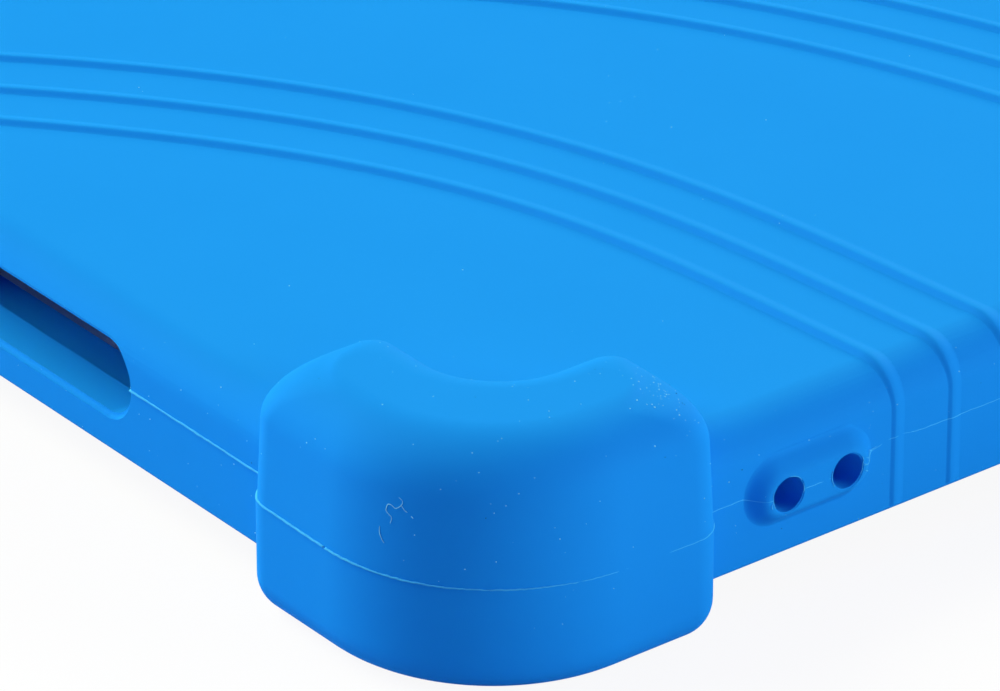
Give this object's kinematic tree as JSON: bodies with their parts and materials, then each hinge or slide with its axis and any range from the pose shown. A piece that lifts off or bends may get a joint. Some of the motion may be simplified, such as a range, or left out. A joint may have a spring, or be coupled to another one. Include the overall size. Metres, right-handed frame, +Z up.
{
  "type": "rugged tablet case",
  "caption": "One-piece moulded silicone sleeve for a tablet, with corner bumpers, raised lines across the back, an open screen side and side openings.",
  "frame": {"origin": "centre of the bounding box at its bottom, on the surface that the corner bumpers rest on", "axes": "+X along the long side, +Y along the short side, +Z up out of the moulded back; the screen side faces down"},
  "size_m": [0.266, 0.177, 0.0174],
  "materials": {
    "silicone": "matt satin moulded silicone rubber, saturated blue"
  },
  "bodies": {
    "root": {"silicone_case": "silicone"}
  },
  "joints": []
}
